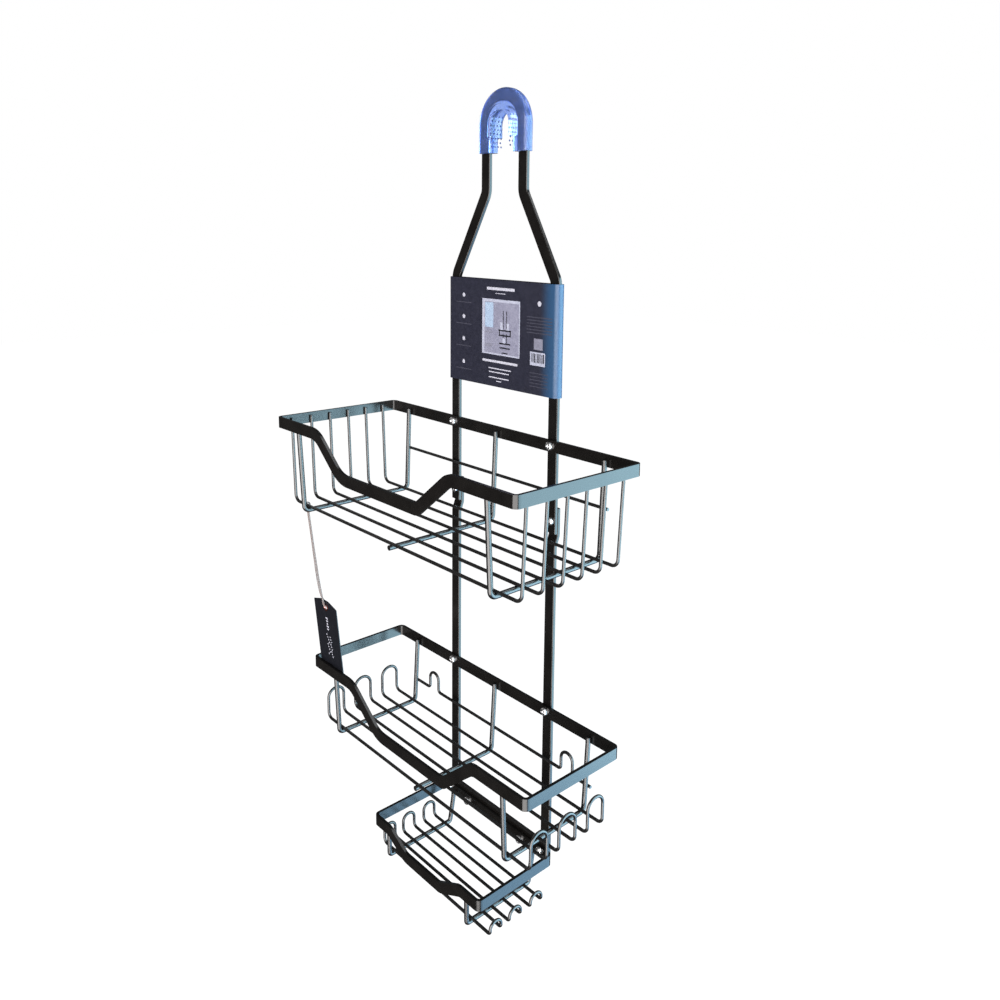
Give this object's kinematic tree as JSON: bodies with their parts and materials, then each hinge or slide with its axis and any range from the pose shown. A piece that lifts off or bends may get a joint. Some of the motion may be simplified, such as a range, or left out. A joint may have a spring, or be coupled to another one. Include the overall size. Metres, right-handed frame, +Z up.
{
  "type": "hanging shower caddy",
  "caption": "Hanging shower caddy: a flat-bar hanger hooks over a shower arm and carries two wire baskets and a wire soap dish; a card sleeve slides on its legs and a hang tag swings.",
  "frame": {"origin": "on the axis of the shower arm in the hook, in the mid-plane of the hanger", "axes": "+Z up, +Y towards the wall, +X to the right seen from the front; metres"},
  "size_m": [0.2985, 0.1276, 0.6417],
  "materials": {
    "black_steel": "satin black powder coat",
    "screws": "polished",
    "sleeve": "clear blue soft silicone",
    "card": "printed card, dark navy",
    "tag": "printed card, dark navy",
    "eyelet": "copper-coloured",
    "string": "thin pale cord"
  },
  "bodies": {
    "frame": {"hanger": "black_steel", "left_upright": "black_steel", "right_upright": "black_steel", "cross_bar": "black_steel", "upper_rim": "black_steel", "middle_rim": "black_steel", "dish_rim": "black_steel", "upper_long_wire_1": "black_steel", "upper_long_wire_2": "black_steel", "upper_long_wire_3": "black_steel", "upper_long_wire_4": "black_steel", "upper_long_wire_5": "black_steel", "upper_long_wire_6": "black_steel", "upper_cross_wire_1": "black_steel", "upper_cross_wire_2": "black_steel", "upper_cross_wire_3": "black_steel", "upper_back_wire": "black_steel", "middle_loop_wire_1": "black_steel", "middle_loop_wire_2": "black_steel", "middle_loop_wire_3": "black_steel", "middle_cross_wire_1": "black_steel", "middle_cross_wire_2": "black_steel", "middle_cross_wire_3": "black_steel", "razor_hook_wire": "black_steel", "dish_loop_wire_1": "black_steel", "dish_loop_wire_2": "black_steel", "dish_loop_wire_3": "black_steel", "dish_cross_wire_1": "black_steel", "dish_cross_wire_2": "black_steel", "upper_basket_screws": "screws", "upright_screws": "screws", "middle_basket_screws": "screws", "dish_outer_screws": "screws", "dish_inner_screws": "screws", "hook_sleeve": "sleeve"},
    "tag": {"hang_tag": "tag", "tag_eyelet": "eyelet", "tag_string": "string", "string_hitch": "string"},
    "label": {"label_card": "card"}
  },
  "joints": [
    {"name": "tag_swing", "type": "hinge", "parent": "frame", "child": "tag", "pos_m": [-0.1246, -0.108, -0.3113], "axis": [1, 0, 0], "range_deg": [0, 30]},
    {"name": "card_slide", "type": "slide", "parent": "frame", "child": "label", "axis": [0, 0, 1], "range_m": [-0.032, 0.098]}
  ]
}
